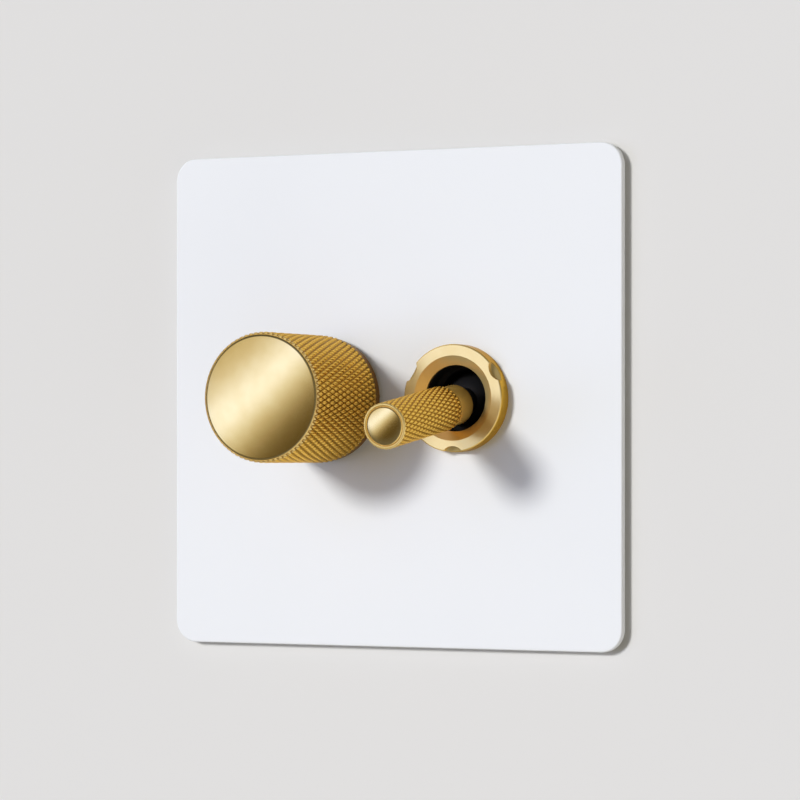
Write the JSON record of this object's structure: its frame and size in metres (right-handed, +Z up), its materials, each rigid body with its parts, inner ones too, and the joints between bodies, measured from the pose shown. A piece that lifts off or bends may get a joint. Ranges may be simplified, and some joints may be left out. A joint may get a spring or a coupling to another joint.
{
  "type": "light switch with dimmer",
  "caption": "Square white wall plate with a knurled brass push-and-turn dimmer knob and a knurled brass toggle switch, with mounting bracket and both modules behind.",
  "frame": {"origin": "middle of the two fixing holes, on the back face of the mounting bracket", "axes": "+X right along the wall, +Z up, -Y out of the wall towards the viewer"},
  "size_m": [0.086, 0.0631, 0.086],
  "materials": {
    "painted_plate": "satin",
    "turned_brass": "satin",
    "plain_brass": "plain",
    "copper_alloy": "plain",
    "copper_winding": "enamelled wire",
    "zinc_steel": "zinc plated",
    "spring_steel": "bright",
    "aluminium": "mill",
    "black_bush": "satin black",
    "black_plastic": "moulded",
    "grey_plastic": "moulded",
    "white_plastic": "moulded",
    "yellow_film": "dipped",
    "circuit_laminate": "laminate"
  },
  "bodies": {
    "root": {"front_plate": "painted_plate", "mounting_bracket": "zinc_steel", "toggle_ring_nut": "turned_brass", "dimmer_washer": "zinc_steel", "dimmer_hex_nut": "plain_brass", "dimmer_back_nut": "plain_brass", "dimmer_bush": "plain_brass", "heat_sink": "aluminium", "track_case": "black_plastic", "track_board": "circuit_laminate", "push_switch_body": "black_plastic", "return_spring": "spring_steel", "circuit_board": "circuit_laminate", "choke": "copper_winding", "capacitor": "yellow_film", "triac": "black_plastic", "triac_screw": "zinc_steel", "dimmer_housing": "grey_plastic", "housing_screws": "zinc_steel", "dimmer_terminal_block": "white_plastic", "dimmer_terminal_screws": "zinc_steel", "toggle_bush": "black_bush", "pivot_pin": "spring_steel", "toggle_back_nut": "plain_brass", "toggle_frame": "zinc_steel", "toggle_case": "grey_plastic", "common_terminal": "plain_brass", "upper_terminal": "plain_brass", "lower_terminal": "plain_brass", "toggle_terminal_screws": "zinc_steel"},
    "lever": {"toggle_bar": "turned_brass", "toggle_stem": "black_bush", "toggle_plunger": "white_plastic", "toggle_spring": "spring_steel"},
    "rocker": {"rocker_contact": "copper_alloy"},
    "rotor": {"wiper_rotor": "white_plastic"},
    "knob": {"dimmer_knob": "turned_brass", "knob_insert": "black_plastic", "dimmer_shaft": "zinc_steel", "shaft_clip": "spring_steel"},
    "button": {"push_switch_plunger": "white_plastic"}
  },
  "joints": [
    {"name": "toggle_swing", "type": "hinge", "parent": "root", "child": "lever", "pos_m": [0.0128, 0.0002, 0], "axis": [-1, 0, 0], "range_deg": [0, 16.3]},
    {"name": "contact_rock", "type": "hinge", "parent": "root", "child": "rocker", "pos_m": [0.0128, 0.0131, 0], "axis": [1, 0, 0], "range_deg": [0, 12]},
    {"name": "dimmer_turn", "type": "hinge", "parent": "root", "child": "rotor", "pos_m": [-0.0128, 0, 0], "axis": [0, 1, 0], "range_deg": [-135, 135]},
    {"name": "dimmer_push", "type": "slide", "parent": "rotor", "child": "knob", "axis": [0, 1, 0], "range_m": [0, 0.0005], "stiffness_N_per_m": 2000, "springref_m": -0.0008, "deforming": ["return_spring"]},
    {"name": "button_push", "type": "slide", "parent": "root", "child": "button", "axis": [0, 1, 0], "range_m": [0, 0.0005]}
  ],
  "couplings": [
    {"joint": "contact_rock", "follows": "toggle_swing", "ratio": 0.736},
    {"joint": "button_push", "follows": "dimmer_push", "ratio": 1}
  ]
}
